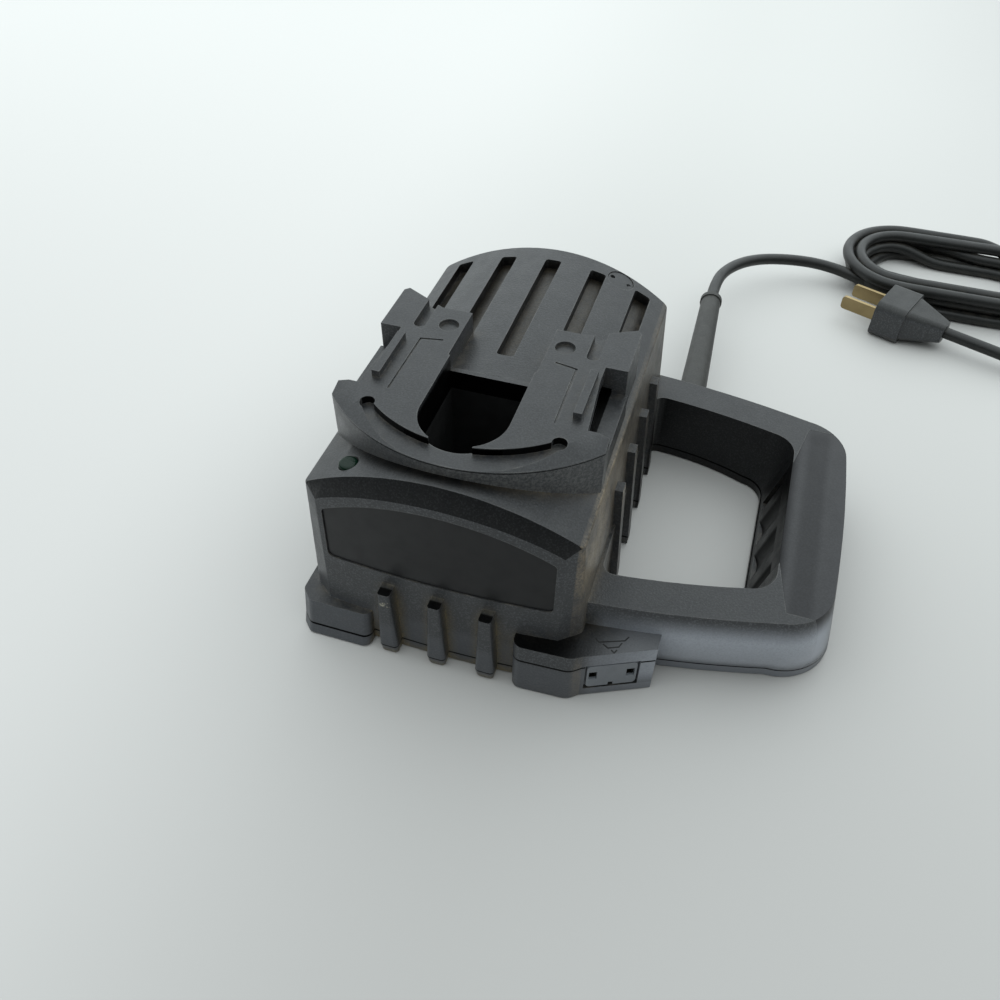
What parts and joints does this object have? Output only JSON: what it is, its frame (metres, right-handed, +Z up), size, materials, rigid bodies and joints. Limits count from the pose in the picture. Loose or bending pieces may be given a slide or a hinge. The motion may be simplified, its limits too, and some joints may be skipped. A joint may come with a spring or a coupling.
{
  "type": "power tool battery charger",
  "caption": "Charger with an arched tower, a roof dock over a deep stem well, a D-shaped side handle, front ribs, a slanted output socket and a mains cord tied in a hank with its plug.",
  "frame": {"origin": "middle of the footprint of the charger without its free cord, at table height", "axes": "+X from the tower towards the handle's outer bar, +Y from the ribbed front to the back, +Z up"},
  "size_m": [0.2817, 0.3177, 0.0817],
  "materials": {
    "shell": "fine grain",
    "shell_lower": "fine grain",
    "grip": "satin",
    "label": "smooth",
    "dock": "fine grain",
    "well": "smooth",
    "terminal": "smooth",
    "contact": "plated",
    "lens": "clear tinted",
    "led": "clear tinted",
    "core": "lacquered laminations",
    "strap": "zinc plated",
    "bobbin": "moulded",
    "winding": "enamelled copper under tape",
    "board": "laminate",
    "diode": "epoxy",
    "resistor": "lacquer",
    "fuse": "sleeved",
    "capacitor": "sleeve",
    "chip": "epoxy",
    "sink": "bare",
    "screw": "zinc plated",
    "foot": "matte",
    "lead": "insulation",
    "cord": "matte",
    "plug": "matte",
    "blade": "plain"
  },
  "bodies": {
    "housing": {"upper_housing": "shell", "lower_housing": "shell_lower", "handle_grip": "grip", "label_plate": "label", "dock_plate": "dock", "well_sleeve": "well", "terminal_block": "terminal", "terminal_pins": "contact", "roof_plug": "shell", "led_lens": "lens", "led_body": "led", "output_socket": "terminal", "socket_sleeves": "contact", "transformer_core": "core", "transformer_bobbin": "bobbin", "primary_winding": "winding", "secondary_winding": "winding", "transformer_strap": "strap", "circuit_board": "board", "rectifier_diodes": "diode", "sense_resistors": "resistor", "line_fuse": "fuse", "filter_capacitor": "capacitor", "charge_controller": "chip", "heat_sink": "sink", "power_transistor": "chip", "thermal_cutout": "chip", "housing_screws": "screw", "transformer_screws": "screw", "board_screws": "screw", "foot_pads": "foot", "mains_leads": "lead", "secondary_leads": "lead", "socket_leads": "lead", "strain_relief": "cord", "power_cord": "cord", "plug_cord": "cord", "cord_coil": "cord", "plug_body": "plug", "plug_blades": "blade"},
    "positive_strip": {"contact_positive": "contact"},
    "negative_strip": {"contact_negative": "contact"},
    "sensor_strip": {"contact_sensor": "contact"}
  },
  "joints": [
    {"name": "positive_press", "type": "slide", "parent": "housing", "child": "positive_strip", "axis": [-1, 0, 0], "range_m": [0, 0.0012], "stiffness_N_per_m": 300},
    {"name": "negative_press", "type": "slide", "parent": "housing", "child": "negative_strip", "axis": [1, 0, 0], "range_m": [0, 0.0012], "stiffness_N_per_m": 300},
    {"name": "sensor_press", "type": "slide", "parent": "housing", "child": "sensor_strip", "axis": [0, -1, 0], "range_m": [0, 0.0012], "stiffness_N_per_m": 300}
  ]
}
